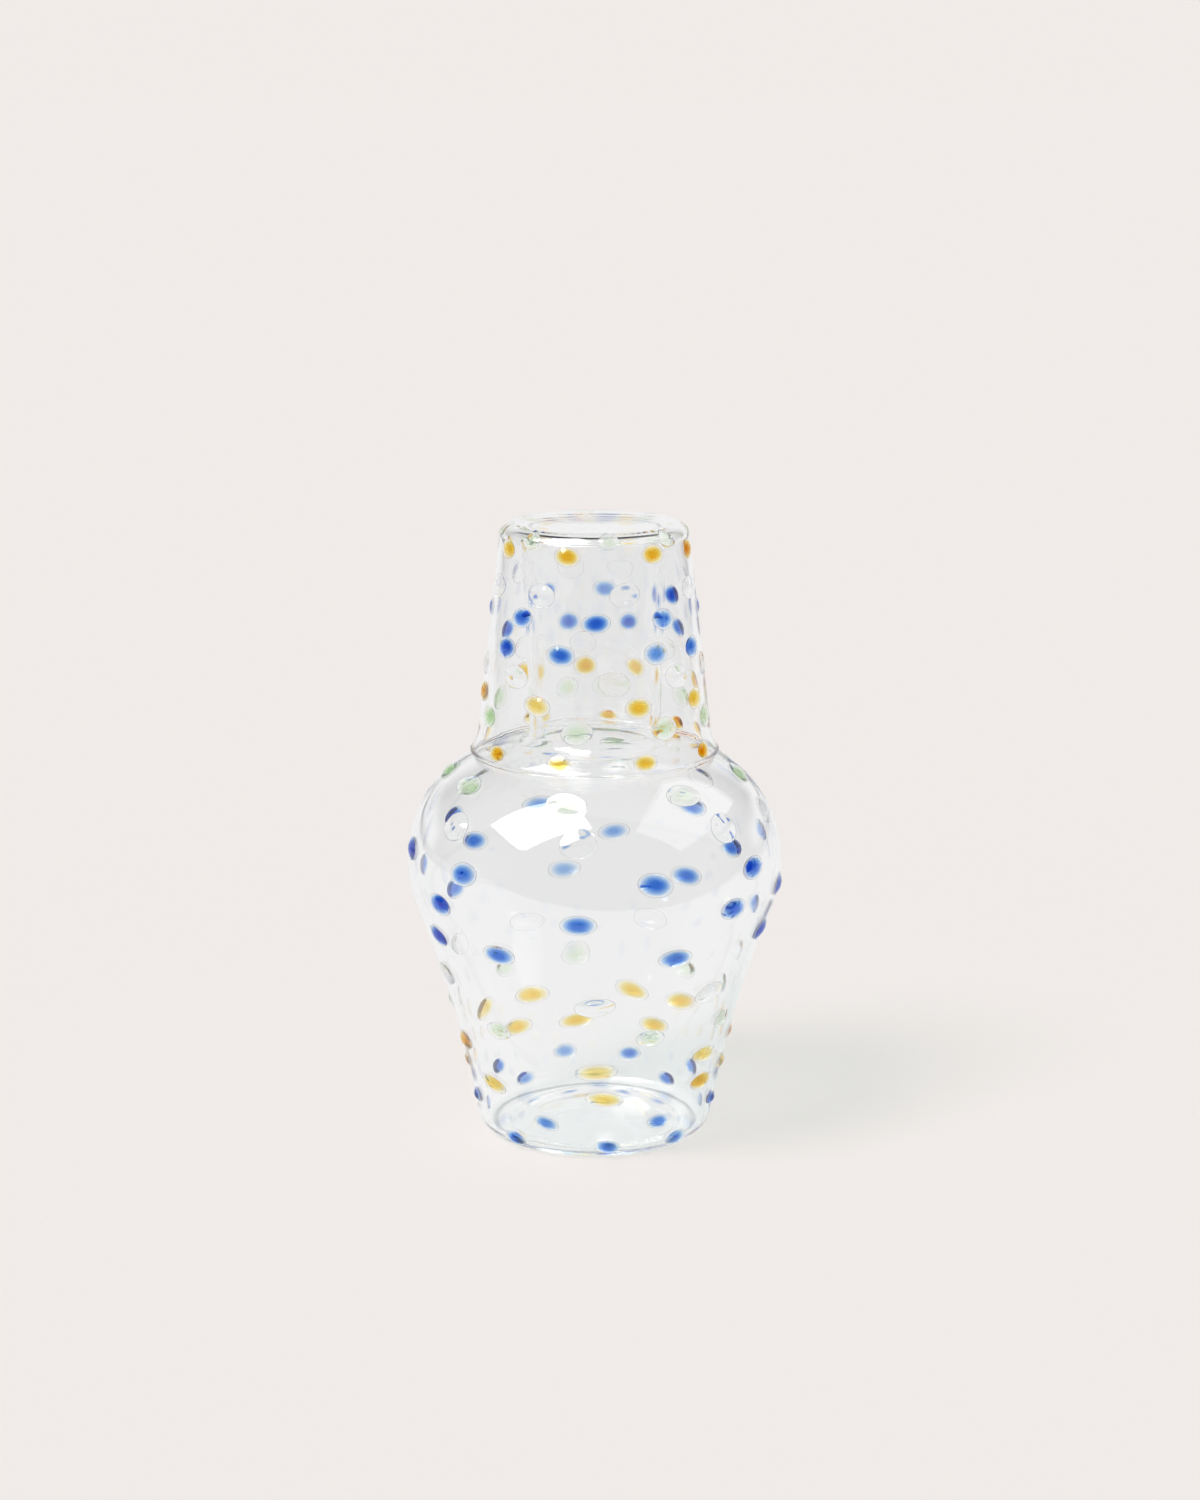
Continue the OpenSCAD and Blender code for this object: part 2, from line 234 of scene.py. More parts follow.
class GlassLooks(bpy.types.PropertyGroup):
    """Colours of the glass and the unevenness of its walls."""
    clear: tint("Clear", (0.88, 0.95, 0.91), "Faint tint of the thick clear glass")
    blue: tint("Blue", (0.085, 0.485, 0.90), "Blue dots")
    amber: tint("Amber", (0.972, 0.82, 0.055), "Amber dots")
    green: tint("Green", (0.315, 0.715, 0.062), "Green dots")
    ior: FloatProperty(name="IOR", description="Refraction of the glass", default=1.52, min=1.0, max=2.0)
    ripple: length("Ripple", 0.00030, "Unevenness of the blown wall, inside")
    ripple_size: length("Ripple Size", 0.028, "Width of the waves in the blown wall")


class StudioLooks(bpy.types.PropertyGroup):
    """Stage, camera and lights."""
    paper: tint("Paper", (0.871, 0.831, 0.807), "Pale backdrop and floor")
    lens: number("Lens", 69.348, "Focal length on a 36 mm tall sensor")
    camera_at: FloatVectorProperty(name="Camera", description="Place of the camera", subtype="TRANSLATION",
                                   default=(0.00175, -0.90809, 0.33204), size=3)
    pitch: FloatProperty(name="Pitch", description="Camera's angle below level", subtype="ANGLE",
                         default=math.radians(12.8025))
    glow: number("Glow", 0.88, "Brightness of the paper seen through the glass")
    ceiling: number("Ceiling", 0.72, "Brightness overhead, seen through the glass")
    near_side: number("Near Side", 0.6, "Brightness behind the camera, seen through the glass")
    room: number("Room", 0.04, "Brightness of the room that the glass reflects")
    table_edge: length("Table Edge", -0.325, "Near edge of the pale table that the glass reflects")
    table_half: length("Table Half Width", 1.1, "Distance of the table's ends from the glass")
    floor_matte: number("Floor Matte", 0.3, "Share of light that the floor scatters")
    floor_light: tint("Floor Light", (0.204, 0.167, 0.173), "What the lights add to the floor's glow")
    # Painted contact shadow: brightness drawn into the floor under the base's edge, seen only through the
    # glass
    contact: number("Contact", 0.5, "Brightness of the floor where the base stands on it")
    ambient: number("Ambient", 0.25, "Light of the room on the floor")
    key_power: number("Key Brightness", 11.0, "Radiance of the softbox on the left")
    fill_power: number("Fill Brightness", 1.1, "Radiance of the softbox on the right")
    window_power: number("Window Brightness", 1.65, "Light that casts the shadow")
    window_tint: tint("Window Tint", (1.0, 0.71, 0.76), "Colour of the light that casts the shadow")


class DottedCarafe(bpy.types.PropertyGroup):
    """All that a user would change."""
    carafe: PointerProperty(type=CarafeSizes)
    tumbler: PointerProperty(type=TumblerSizes)
    dots: PointerProperty(type=DotSizes)
    glass: PointerProperty(type=GlassLooks)
    studio: PointerProperty(type=StudioLooks)
    turns: IntProperty(name="Turn Steps", description="Steps of a turned shape round the axis",
                       default=192, min=48)


def settings():
    """The sizes and looks that the operators read."""
    return bpy.context.scene.dotted_carafe


def deselect():
    """Nothing selected, so that the next operator acts only on what it makes."""
    if bpy.context.mode != "OBJECT":
        bpy.ops.object.mode_set(mode="OBJECT")
    bpy.ops.object.select_all(action="DESELECT")


def toward(angle):
    """Unit step in the section at an angle above level."""
    return Vector((math.cos(angle), math.sin(angle)))


def arc(centre, radius, start, end, steps):
    """Points of a section's arc, both ends included."""
    return [centre + radius * toward(start + (end - start) * i / steps) for i in range(steps + 1)]


def line(start, end, steps):
    """Points between two points of a section, ends left out."""
    return [start.lerp(end, i / steps) for i in range(1, steps)]


def cap_curve(half, rise):
    """Radius of the curve of a round cap."""
    return (half * half + rise * rise) / (2 * rise)


def tidy_line(points, gap=1e-5):
    """The points without doubles."""
    kept = [points[0]]
    for point in points[1:]:
        if (point - kept[-1]).length > gap:
            kept.append(point)
    return kept


class CarafeSection:
    """Arcs of the carafe's section, each running into the next."""

    def __init__(self):
        s = settings().carafe
        self.s = s
        self.belly_c = Vector((s.belly_r - s.belly_curve, s.belly_z))
        self.flank_c = self.belly_c + (s.belly_curve + s.flank_curve) * toward(-s.flank_lean)
        self.heel_c = self.beside_flank(s.heel_curve, s.heel_curve)
        self.inner_heel_c = self.beside_flank(s.wall + s.inner_heel_curve, s.floor + s.inner_heel_curve)
        fillet_x = s.neck_r + s.neck_fillet
        reach = s.belly_curve + s.neck_fillet
        fillet_up = math.sqrt(reach ** 2 - (fillet_x - self.belly_c.x) ** 2)
        self.fillet_c = Vector((fillet_x, s.belly_z + fillet_up))
        self.push_up_curve = cap_curve(s.push_up_r, s.push_up_h)
        self.push_up_c = Vector((0, s.push_up_h - self.push_up_curve))

    def beside_flank(self, inset, height):
        """Point at a height on a skin set in from the flank."""
        reach = self.s.flank_curve + inset
        return Vector((self.flank_c.x - math.sqrt(reach ** 2 - (height - self.flank_c.y) ** 2), height))

    def skin(self, inset, heel_c, heel):
        """Heel, flank, belly, fillet and foot of the neck on a skin set in from the outer face."""
        s = self.s
        to_flank = self.flank_c - heel_c
        heel_turn = math.atan2(to_flank.y, to_flank.x)
        flank_start = math.pi + heel_turn
        flank_end = math.pi - s.flank_lean
        to_fillet = self.fillet_c - self.belly_c
        crown = math.atan2(to_fillet.y, to_fillet.x)
        points = arc(heel_c, heel, -math.pi / 2, heel_turn, CARAFE_STEPS["heel"])
        points += arc(self.flank_c, s.flank_curve + inset, flank_start, flank_end, CARAFE_STEPS["flank"])
        points += arc(self.belly_c, s.belly_curve - inset, -s.flank_lean, crown, CARAFE_STEPS["belly"])
        points += arc(self.fillet_c, s.neck_fillet + inset, crown + math.pi, math.pi, CARAFE_STEPS["fillet"])
        return points

    def outline(self):
        """Whole section, from the push-up round the outside, over the mouth and down to the floor inside."""
        s = self.s
        edge = math.atan2(-self.push_up_c.y, s.push_up_r)
        steps = CARAFE_STEPS
        points = arc(self.push_up_c, self.push_up_curve, math.pi / 2, edge, steps["push_up"])
        foot = Vector((s.push_up_r, 0))
        points += [foot + Vector((CRISP_EDGE, 0))] + line(foot, Vector((self.heel_c.x, 0)), steps["base"])
        points += self.skin(0, self.heel_c, s.heel_curve)
        bead_c = Vector((s.mouth_r - s.wall / 2, MOUTH_TOP - s.mouth_bead))
        neck_foot = Vector((s.neck_r, self.fillet_c.y))
        points += line(neck_foot, Vector((s.mouth_r, bead_c.y)), steps["neck"])
        points += arc(bead_c, s.mouth_bead, 0, math.pi, steps["mouth"])
        inner = self.skin(s.wall, self.inner_heel_c, s.inner_heel_curve)
        inner_foot = Vector((s.neck_r - s.wall, self.fillet_c.y))
        points += line(Vector((s.mouth_r - s.wall, bead_c.y)), inner_foot, steps["neck"])
        points += inner[::-1]
        dome = self.push_up_curve + s.floor
        floor_lift = s.floor - self.push_up_c.y
        meet = math.sqrt(dome ** 2 - floor_lift ** 2)
        points += line(Vector((self.inner_heel_c.x, s.floor)), Vector((meet, s.floor)), steps["floor"])
        points += arc(self.push_up_c, dome, math.atan2(floor_lift, meet), math.pi / 2, steps["push_up"])
        return tidy_line(points)

    def spot(self, height):
        """Point of the outer wall at a height and the wall's tilt above level."""
        s = self.s
        if height > s.belly_z - s.belly_curve * math.sin(s.flank_lean):
            tilt = math.asin(min(1, (height - s.belly_z) / s.belly_curve))
            return self.belly_c + s.belly_curve * toward(tilt), tilt
        if height > self.heel_c.y:
            tilt = -math.asin((height - self.flank_c.y) / s.flank_curve)
            return self.flank_c - s.flank_curve * toward(tilt), tilt
        tilt = math.asin(max(-1, (height - self.heel_c.y) / s.heel_curve))
        return self.heel_c + s.heel_curve * toward(tilt), tilt


class TumblerSection:
    """Arcs of the tumbler's section, with the foot of the rim at its height in the frame."""

    def __init__(self):
        s = settings().tumbler
        self.s = s
        self.height = TUMBLER_TOP - TUMBLER_FOOT
        self.waist = Vector((s.waist_r, s.flare_h))
        self.lean = math.atan((s.waist_r - s.base_r) / (self.height - s.flare_h))
        self.out = toward(self.lean)
        self.heel_c = self.beside_wall(s.heel, self.height - s.heel)
        self.inside_h = self.height - s.floor
        self.inner_heel_c = self.beside_wall(s.wall + s.inner_heel, self.inside_h - s.inner_heel)
        self.bead_c = Vector((s.rim_r - s.rim_bead, s.rim_bead))
        chord = self.bead_c - self.waist + s.wall / 2 * self.out
        self.turn = 2 * (math.atan(-chord.x / chord.y) - self.lean)
        self.flare_curve = chord.length / 2 / math.sin(self.turn / 2) - s.wall / 2
        self.flare_c = self.waist + self.flare_curve * self.out
        self.recess_curve = cap_curve(s.recess_r, s.recess_h)

    def beside_wall(self, inset, height):
        """Point at a height on a skin set in from the wall."""
        lean = self.lean
        run = (inset + (height - self.waist.y) * math.sin(lean)) / math.cos(lean)
        return Vector((self.waist.x - run, height))

    def outline(self):
        """Whole section, from the recess down the outside, round the rim and up to the floor inside."""
        s = self.s
        lift = Vector((0, TUMBLER_FOOT))
        recess_c = Vector((0, self.height - s.recess_h + self.recess_curve))
        recess_edge = math.atan2(self.height - recess_c.y, s.recess_r)
        steps = TUMBLER_STEPS
        points = arc(recess_c, self.recess_curve, -math.pi / 2, recess_edge, steps["recess"])
        points += line(Vector((s.recess_r, self.height)), Vector((self.heel_c.x, self.height)), steps["base"])
        points += arc(self.heel_c, s.heel, math.pi / 2, self.lean, steps["heel"])
        points += line(self.heel_c + s.heel * self.out, self.waist, steps["wall"])
        near = math.pi + self.lean
        points += arc(self.flare_c, self.flare_curve, near, near + self.turn, steps["flare"])
        end = self.lean + self.turn
        points += arc(self.bead_c, s.rim_bead, end, end - math.pi, steps["rim"])[1:-1]
        points += arc(self.flare_c, self.flare_curve + s.wall, near + self.turn, near, steps["flare"])
        inner_heel_end = self.inner_heel_c + s.inner_heel * self.out
        points += line(self.waist - s.wall * self.out, inner_heel_end, steps["wall"])
        points += arc(self.inner_heel_c, s.inner_heel, self.lean, math.pi / 2, steps["inner_heel"])
        middle = Vector((0, self.inside_h))
        points += line(Vector((self.inner_heel_c.x, self.inside_h)), middle, steps["floor"])
        points += [middle]
        return [point + lift for point in tidy_line(points)]

    def spot(self, height):
        """Point of the outer wall at a height and the wall's tilt above level."""
        s = self.s
        up = height - TUMBLER_FOOT
        lift = Vector((0, TUMBLER_FOOT))
        if up < s.flare_h:
            tilt = -math.asin((up - self.flare_c.y) / self.flare_curve)
            return self.flare_c - self.flare_curve * toward(tilt) + lift, tilt
        if up < self.heel_c.y + s.heel * math.sin(self.lean):
            return self.beside_wall(0, up) + lift, self.lean
        tilt = math.asin(min(1, (up - self.heel_c.y) / s.heel))
        return self.heel_c + s.heel * toward(tilt) + lift, tilt


def turn_section(name, points):
    """A glass shell: one vertex drawn out along the section, spun round the axis and closed."""
    deselect()
    bpy.ops.mesh.primitive_plane_add(size=0.001, location=(0, 0, 0))
    shell = bpy.context.object
    shell.name = name
    shell.data.name = name
    bpy.ops.object.mode_set(mode="EDIT")
    bpy.ops.mesh.select_mode(type="VERT")
    bpy.ops.mesh.select_all(action="SELECT")
    bpy.ops.mesh.merge(type="CENTER")
    bpy.ops.transform.translate(value=(points[0].x, 0, points[0].y))
    for here, there in zip(points, points[1:]):
        step = there - here
        bpy.ops.mesh.extrude_region_move(TRANSFORM_OT_translate={"value": (step.x, 0, step.y)})
    bpy.ops.mesh.select_all(action="SELECT")
    bpy.ops.mesh.spin(steps=settings().turns, angle=2 * math.pi, center=(0, 0, 0), axis=(0, 0, 1))
    bpy.ops.mesh.select_all(action="SELECT")
    bpy.ops.mesh.remove_doubles(threshold=WELD)
    bpy.ops.mesh.normals_make_consistent(inside=False)
    bpy.ops.object.mode_set(mode="OBJECT")
    bpy.ops.object.shade_smooth()
    return shell


def ripple(shell, is_inside):
    """Uneven inner face, as blowing leaves it."""
    inside = [v.index for v in shell.data.vertices if is_inside(v.co)]
    group = shell.vertex_groups.new(name="inside")
    group.add(inside, 1.0, "REPLACE")
    clouds = bpy.data.textures.new(shell.name + "_ripple", "CLOUDS")
    clouds.noise_scale = settings().glass.ripple_size
    clouds.noise_depth = 1
    move = shell.modifiers.new("ripple", "DISPLACE")
    move.texture = clouds
    move.texture_coords = "LOCAL"
    move.vertex_group = group.name
    move.strength = settings().glass.ripple
    move.mid_level = 0.5
    bpy.context.view_layer.objects.active = shell
    bpy.ops.object.modifier_apply(modifier=move.name)


def dots_of(node):
    """Azimuth, lowest and highest point and width of each dot of a packed row, parted at the gaps."""
    places = sorted((math.atan2(v.co.y, v.co.x), v.co.z, math.hypot(v.co.x, v.co.y))
                    for v in frame["nodes"][node].data.vertices)
    breaks = [i for i in range(len(places)) if places[i][0] - places[i - 1][0] > BEAD_GAP]
    wraps = places[0][0] + 2 * math.pi - places[-1][0] > BEAD_GAP
    if wraps:
        breaks = [0] + [i for i in breaks if i]
        runs = [places[a:b] for a, b in zip(breaks, breaks[1:] + [len(places)])]
    else:
        breaks = [i for i in breaks if i]
        runs = [places[a:b] for a, b in zip(breaks, breaks[1:])]
        runs.append(places[breaks[-1]:] + [(a + 2 * math.pi, z, r) for a, z, r in places[:breaks[0]]])
    found = []
    for run in runs:
        low, high = run[0][0], run[-1][0]
        bottom = min(p[1] for p in run)
        top = max(p[1] for p in run)
        reach = sum(p[2] for p in run) / len(run)
        found.append(((low + high) / 2, bottom, top, (high - low) * reach))
    return found


def model_rings(name, rings, sides):
    """A small closed body of half width 1: a fan drawn out ring by ring from its back to its top."""
    deselect()
    radius, height = rings[0]
    bpy.ops.mesh.primitive_circle_add(vertices=sides, radius=radius, fill_type="TRIFAN", location=(0, 0, 0))
    body = bpy.context.object
    body.name = name
    bpy.ops.object.mode_set(mode="EDIT")
    bpy.ops.mesh.select_all(action="SELECT")
    bpy.ops.transform.translate(value=(0, 0, height))
    for wide, tall in rings[1:]:
        bpy.ops.mesh.extrude_region_move(TRANSFORM_OT_translate={"value": (0, 0, tall - height)})
        bpy.ops.transform.resize(value=(wide / radius, wide / radius, 1))
        radius, height = wide, tall
    bpy.ops.mesh.select_all(action="SELECT")
    bpy.ops.mesh.normals_make_consistent(inside=False)
    bpy.ops.object.mode_set(mode="OBJECT")
    bpy.ops.object.shade_smooth()
    return body


def model_bead():
    """A low dome with a flat back."""
    shares = [math.sin(math.pi / 2 * i / BEAD_RINGS) for i in range(1, BEAD_RINGS)]
    rings = [(r, -1.0) for r in BACK_RINGS] + [(1.0, 0.0)]
    rings += [(r, (1 - r * r) ** BEAD_SOFTNESS) for r in reversed(shares)]
    return model_rings("bead_pattern", rings, BEAD_SIDES)


def model_core():
    """The colour in a bead: a lens that thins out to nothing at its edge."""
    shares = [math.sin(math.pi / 2 * i / CORE_RINGS) for i in range(1, CORE_RINGS)]
    swell = [(r, (1 - r * r) ** CORE_SOFTNESS) for r in shares]
    rings = [(r, -h) for r, h in swell] + [(1.0, 0.0)] + swell[::-1]
    return model_rings("core_pattern", rings, CORE_SIDES)


def seat(body, section, dot, share, above, below):
    """Bend one copy of a pattern on to its wall, so that its back lies along the glass."""
    azimuth, height, half_wide, half_tall, twist = dot
    point, _ = section.spot(height)
    step = 0.0005
    next_point, _ = section.spot(height + step)
    rise = (next_point - point).length / step
    for vertex in body.data.vertices:
        x, y, z = vertex.co
        across = share * half_wide * x
        along = share * half_tall * y
        across, along = (across * math.cos(twist) - along * math.sin(twist),
                         across * math.sin(twist) + along * math.cos(twist))
        flat, lean = section.spot(height + along / rise)
        out = (above if z > 0 else below) * z - EDGE_SINK
        spot = flat + out * toward(lean)
        turn = azimuth + across / point.x
        vertex.co = (spot.x * math.cos(turn), spot.x * math.sin(turn), spot.y)
    body.data.update()


def row_places(node, section, run, seed):
    """Azimuth, height, half sizes and twist of each dot of a packed row, and its colour's depth."""
    s = settings().dots
    chance = random.Random(seed)
    places = []
    depths = []
    for azimuth, bottom, top, wide in dots_of(node):
        middle = (bottom + top) / 2
        _, tilt = section.spot(middle)
        tall = (top - bottom) / max(LEAST_BEAD_COSINE, math.cos(tilt))
        wide *= run * (1 + s.uneven * chance.uniform(-1, 1))
        tall *= 1 + s.uneven * chance.uniform(-1, 1)
        twist = BEAD_TWIST * chance.uniform(-1, 1)
        places.append((azimuth, middle, wide / 2, tall / 2, twist))
        depths.append(1 + s.colour_uneven * chance.uniform(-1, 1))
    return places, depths


def place_row(piece_name, pattern, section, places, share, heights):
    """All dots of one row, as one piece of separate drops."""
    copies = []
    for dot, (above, below) in zip(places, heights):
        deselect()
        pattern.select_set(True)
        bpy.context.view_layer.objects.active = pattern
        bpy.ops.object.duplicate(linked=False)
        copies.append(bpy.context.object)
        seat(copies[-1], section, dot, share, above, below)
    deselect()
    for body in copies:
        body.select_set(True)
    bpy.context.view_layer.objects.active = copies[0]
    bpy.ops.object.join()
    row = bpy.context.object
    row.name = piece_name
    row.data.name = piece_name
    return row


class Net:
    """A node tree with short words for what the looks need."""

    def __init__(self, tree):
        self.nodes = tree.nodes
        self.links = tree.links

    def link(self, start, end):
        """Join an output to an input."""
        self.links.new(start, end)

    def add(self, kind, operation=None, **inputs):
        """A new node with its inputs linked by name."""
        node = self.nodes.new(kind)
        if operation:
            node.operation = operation
        for name, start in inputs.items():
            self.link(start, node.inputs[name])
        return node

    def fade(self, value, start, end, most=1.0):
        """0 before start, the most after end, smooth between."""
        node = self.add("ShaderNodeMapRange", Value=value)
        node.interpolation_type = "SMOOTHSTEP"
        node.inputs["From Min"].default_value = start
        node.inputs["From Max"].default_value = end
        node.inputs["To Max"].default_value = most
        return node.outputs["Result"]

    def pair(self, operation, first, second):
        """Product, greater or the like of two values."""
        node = self.add("ShaderNodeMath", operation=operation)
        self.link(first, node.inputs[0])
        self.link(second, node.inputs[1])
        return node.outputs["Value"]

    def product(self, first, second):
        """Both values multiplied."""
        return self.pair("MULTIPLY", first, second)

    def over(self, value):
        """1 where a count has begun."""
        node = self.add("ShaderNodeMath", operation="GREATER_THAN")
        self.link(value, node.inputs[0])
        node.inputs[1].default_value = BEGUN
        return node.outputs["Value"]

    def near_mirror(self, path):
        """1 for light that a wall mirrors before it has crossed the glass many times."""
        early = self.add("ShaderNodeMath", operation="LESS_THAN")
        self.link(path.outputs["Ray Depth"], early.inputs[0])
        early.inputs[1].default_value = MIRROR_DEPTH
        return self.product(self.over(path.outputs["Glossy Depth"]), early.outputs["Value"])

    def blend(self, share, first, second):
        """One colour running into another, each a value or a link."""
        node = self.add("ShaderNodeMix")
        node.data_type = "RGBA"
        self.link(share, node.inputs["Factor"])
        for index, colour in zip(MIX_INPUTS, (first, second)):
            if isinstance(colour, bpy.types.NodeSocket):
                self.link(colour, node.inputs[index])
            else:
                node.inputs[index].default_value = (*colour, 1)
        return node.outputs[MIX_RESULT]


def glass(name, tint_colour, density, waves, ior):
    """Blown glass: refracting, tinted by its thickness, with faint striae and a trace of handling."""
    if name in bpy.data.materials:
        return bpy.data.materials[name]
    material = bpy.data.materials.new(name)
    material.use_nodes = True
    nodes, links = material.node_tree.nodes, material.node_tree.links
    wave_height, wave_fineness = waves
    shader = nodes["Principled BSDF"]
    shader.inputs["Base Color"].default_value = (1, 1, 1, 1)
    shader.inputs["Transmission Weight"].default_value = 1.0
    shader.inputs["IOR"].default_value = ior
    coords = nodes.new("ShaderNodeTexCoord")
    stretch = nodes.new("ShaderNodeMapping")
    stretch.inputs["Scale"].default_value = STRIAE_SQUEEZE
    striae = nodes.new("ShaderNodeTexNoise")
    striae.inputs["Scale"].default_value = wave_fineness
    striae.inputs["Detail"].default_value = STRIAE_DETAIL
    bump = nodes.new("ShaderNodeBump")
    bump.inputs["Strength"].default_value = 1.0
    bump.inputs["Distance"].default_value = wave_height
    links.new(coords.outputs["Object"], stretch.inputs["Vector"])
    links.new(stretch.outputs["Vector"], striae.inputs["Vector"])
    links.new(striae.outputs["Fac"], bump.inputs["Height"])
    links.new(bump.outputs["Normal"], shader.inputs["Normal"])
    handling = nodes.new("ShaderNodeTexNoise")
    handling.inputs["Scale"].default_value = HANDLING_SCALE
    handling.inputs["Detail"].default_value = HANDLING_DETAIL
    gloss = nodes.new("ShaderNodeMapRange")
    gloss.inputs["From Min"].default_value = HANDLING_RANGE[0]
    gloss.inputs["From Max"].default_value = HANDLING_RANGE[1]
    gloss.inputs["To Max"].default_value = HANDLING_ROUGHNESS
    links.new(coords.outputs["Object"], handling.inputs["Vector"])
    links.new(handling.outputs["Fac"], gloss.inputs["Value"])
    links.new(gloss.outputs["Result"], shader.inputs["Roughness"])
    absorb = nodes.new("ShaderNodeVolumeAbsorption")
    absorb.inputs["Color"].default_value = (*tint_colour, 1)
    absorb.inputs["Density"].default_value = density
    links.new(absorb.outputs["Volume"], nodes["Material Output"].inputs["Volume"])
    return material


def glass_of(slot):
    """The glass of a slot of the record: the clear glass, or a coloured bead's faintly tinted outside."""
    looks = settings().glass
    if slot == "clear_glass":
        return glass("clear_blown_glass", looks.clear, CLEAR_DENSITY, WALL_STRIAE, looks.ior)
    hue = slot.split("_")[0]
    density = RIM_TINT * DENSITIES[hue]
    return glass(hue + "_bead_glass", getattr(looks, hue), density, BEAD_STRIAE, looks.ior)


def colour_of(slot):
    """The colour in a bead, which the bead's own faces bend light round, so that it bends none itself."""
    hue = slot.split("_")[0]
    looks = settings().glass
    return glass(hue + "_core_glass", getattr(looks, hue), DENSITIES[hue], BEAD_STRIAE, CORE_IOR)


class DOTTED_CARAFE_OT_carafe_glass(bpy.types.Operator):
    """Turn the carafe's glass round the axis"""
    bl_idname = "dotted_carafe.carafe_glass"
    bl_label = "Carafe Glass"
    bl_options = {"REGISTER", "UNDO"}

    def execute(self, context):
        section = CarafeSection()
        shell = turn_section("carafe_shell", section.outline())
        s = section.s
        margin = s.wall / 2

        def inside(co):
            radius = math.hypot(co.x, co.y)
            if co.z > section.fillet_c.y - s.neck_fillet:
                return co.z < MOUTH_TOP - MOUTH_MARGIN and radius < s.neck_r - margin
            point, tilt = section.spot(max(co.z, LOWEST_WALL))
            face = point.x - margin / max(LEAST_WALL_COSINE, math.cos(tilt))
            return co.z > s.floor + CARAFE_FLOOR_MARGIN and radius < face

        ripple(shell, inside)
        shell.data.materials.append(glass_of("clear_glass"))
        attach(shell, "carafe")
        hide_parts("carafe_glass")
        return {"FINISHED"}


class DOTTED_CARAFE_OT_tumbler_glass(bpy.types.Operator):
    """Turn the tumbler's glass round the axis"""
    bl_idname = "dotted_carafe.tumbler_glass"
    bl_label = "Tumbler Glass"
    bl_options = {"REGISTER", "UNDO"}

    def execute(self, context):
        section = TumblerSection()
        shell = turn_section("tumbler_shell", section.outline())
        s = section.s
        flare_end = TUMBLER_FOOT + s.flare_h
        floor_z = TUMBLER_FOOT + section.inside_h

        def inside(co):
            radius = math.hypot(co.x, co.y)
            point, _ = section.spot(max(co.z, flare_end))
            return flare_end < co.z < floor_z - TUMBLER_FLOOR_MARGIN and radius < point.x - s.wall / 2

        ripple(shell, inside)
        shell.data.materials.append(glass_of("clear_glass"))
        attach(shell, "tumbler")
        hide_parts("tumbler_glass")
        return {"FINISHED"}


class DOTTED_CARAFE_OT_dots(bpy.types.Operator):
    """Melt the rows of dots on to both glasses"""
    bl_idname = "dotted_carafe.dots"
    bl_label = "Dots"
    bl_options = {"REGISTER", "UNDO"}

    def execute(self, context):
        s = settings().dots
        bead, core = model_bead(), model_core()
        sections = {"carafe": CarafeSection(), "tumbler": TumblerSection()}
        rises = {"carafe": s.carafe_proud, "tumbler": s.tumbler_proud}
        roots = {"carafe": s.carafe_root, "tumbler": s.tumbler_root}
        runs = {"carafe": s.carafe_run, "tumbler": s.tumbler_run}
        for part in frame["record"]["subparts"]:
            node, slot = part["node"], part["material_slot"]
            if "_row_" not in node:
                continue
            body = node.split("_")[0]
            section = sections[body]
            rise = s.heel_proud if node == HEEL_ROW else rises[body]
            seed = sum(ord(letter) for letter in node)
            places, depths = row_places(node, section, runs[body], seed)
            heights = [(rise, BACK_SINK)] * len(places)
            beads = place_row(node.replace("_row_", "_dots_"), bead, section, places, 1.0, heights)
            beads.data.materials.append(glass_of(slot))
            pieces = [beads]
            if slot != "clear_glass":
                heights = [(s.core_rise * rise * min(1.0, depth), roots[body] * depth) for depth in depths]
                cores = place_row(node.replace("_row_", "_cores_"), core, section, places, s.core_share,
                                  heights)
                cores.data.materials.append(colour_of(slot))
                pieces.append(cores)
            for piece in pieces:
                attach(piece, body)
                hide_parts(node)
        deselect()
        bead.select_set(True)
        core.select_set(True)
        bpy.ops.object.delete()
        return {"FINISHED"}


def softbox(name, setting, strength):
    """A flat, even light that faces the glass and shows only in it."""
    azimuth, elevation, roll, distance, width, height = setting
    deselect()
    bpy.ops.mesh.primitive_plane_add(size=1, location=(0, 0, 0))
    sheet = bpy.context.object
    sheet.name = name
    out = Vector((math.sin(azimuth) * math.cos(elevation), -math.cos(azimuth) * math.cos(elevation),
                  math.sin(elevation)))
    across = Vector((math.cos(azimuth), math.sin(azimuth), 0))
    up = out.cross(across)
    turn = Matrix((across, -up, -out)).transposed().to_4x4() @ Matrix.Rotation(roll, 4, "Z")
    place = Matrix.Translation(FACED_POINT + out * distance)
    sheet.matrix_world = place @ turn @ Matrix.Diagonal((width, height, 1, 1))
    material = bpy.data.materials.new(name)
    material.use_nodes = True
    nodes, links = material.node_tree.nodes, material.node_tree.links
    nodes.remove(nodes["Principled BSDF"])
    glow = nodes.new("ShaderNodeEmission")
    glow.inputs["Color"].default_value = (1, 1, 1, 1)
    glow.inputs["Strength"].default_value = strength
    links.new(glow.outputs["Emission"], nodes["Material Output"].inputs["Surface"])
    sheet.data.materials.append(material)
    for ray in RAYS:
        setattr(sheet, "visible_" + ray, ray in SOFTBOX_RAYS)


